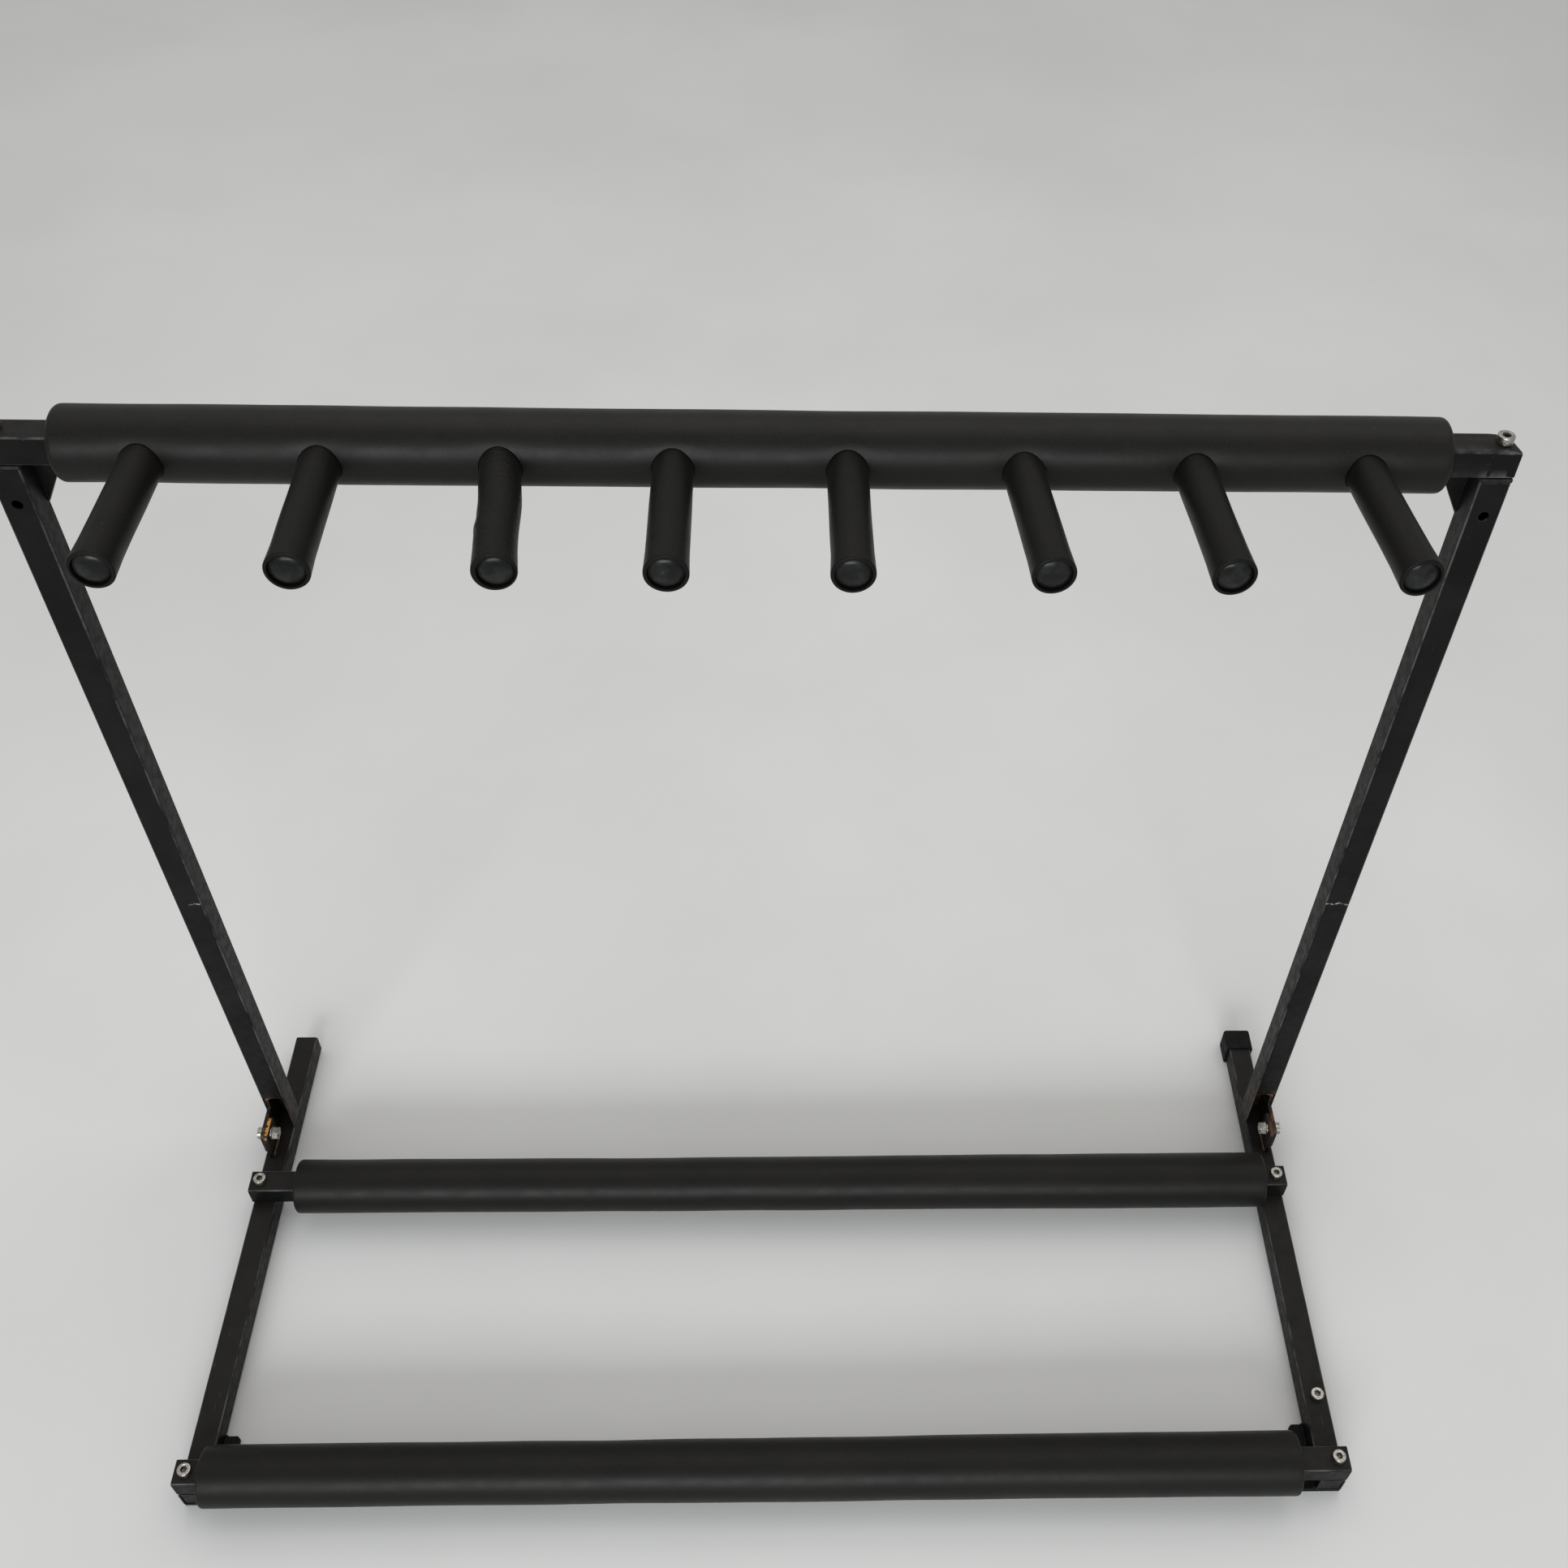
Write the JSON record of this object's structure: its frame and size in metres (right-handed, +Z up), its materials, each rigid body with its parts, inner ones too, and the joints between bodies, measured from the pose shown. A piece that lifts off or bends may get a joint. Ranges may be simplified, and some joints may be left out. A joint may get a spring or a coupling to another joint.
{
  "type": "guitar rack",
  "caption": "Folding floor rack for a row of guitars: black square tube frame, foam-sleeved crossbars to stand on, and a foam-sleeved top bar with padded pegs that part the necks.",
  "frame": {"origin": "on the floor, under the middle of the rack's bounding box", "axes": "+X along the bars to the rack's right as seen from the front, -Y towards the front where the guitars stand, +Z up"},
  "size_m": [0.918, 0.4418, 0.7797],
  "materials": {
    "black_paint": "black powder coat, low sheen, worn on the edges",
    "foam": "matt black closed-cell foam with a soft sheen",
    "zinc_steel": "bright zinc plate",
    "black_plastic": "moulded black plastic, semi-gloss",
    "rubber": "black moulded rubber"
  },
  "bodies": {
    "base": {"leg_left": "black_paint", "leg_right": "black_paint", "front_crossbar": "black_paint", "front_crossbar_foam": "foam", "rear_crossbar": "black_paint", "rear_crossbar_foam": "foam", "front_screw_left": "zinc_steel", "front_screw_right": "zinc_steel", "rear_screw_left": "zinc_steel", "rear_screw_right": "zinc_steel", "spare_leg_screw": "zinc_steel", "front_foot_left": "rubber", "front_foot_right": "rubber", "leg_plug_left": "black_plastic", "leg_plug_right": "black_plastic", "rear_cap_right": "rubber", "hinge_ear_left": "black_paint", "hinge_ear_right": "black_paint", "pivot_bolt_left": "zinc_steel", "pivot_bolt_right": "zinc_steel", "pivot_washer_left": "zinc_steel", "pivot_washer_right": "zinc_steel", "pivot_nut_left": "zinc_steel", "pivot_nut_right": "zinc_steel"},
    "upper_frame": {"upright_left": "black_paint", "upright_right": "black_paint", "hinge_tab_left": "black_paint", "hinge_tab_right": "black_paint", "upright_plug_left": "black_plastic", "upright_plug_right": "black_plastic", "gusset_left": "black_paint", "gusset_right": "black_paint", "top_screw_left": "zinc_steel", "top_screw_right": "zinc_steel", "top_bar": "black_paint", "top_bar_foam": "foam", "peg_tube_1": "black_paint", "peg_tube_2": "black_paint", "peg_tube_3": "black_paint", "peg_tube_4": "black_paint", "peg_tube_5": "black_paint", "peg_tube_6": "black_paint", "peg_tube_7": "black_paint", "peg_tube_8": "black_paint", "peg_cap_1": "black_plastic", "peg_cap_2": "black_plastic", "peg_cap_3": "black_plastic", "peg_cap_4": "black_plastic", "peg_cap_5": "black_plastic", "peg_cap_6": "black_plastic", "peg_cap_7": "black_plastic", "peg_cap_8": "black_plastic", "peg_foam_1": "foam", "peg_foam_2": "foam", "peg_foam_3": "foam", "peg_foam_4": "foam", "peg_foam_5": "foam", "peg_foam_6": "foam", "peg_foam_7": "foam", "peg_foam_8": "foam"}
  },
  "joints": [
    {"name": "fold", "type": "hinge", "parent": "base", "child": "upper_frame", "pos_m": [0, 0.0991, 0.0438], "axis": [1, 0, 0], "range_deg": [0, 93]}
  ]
}
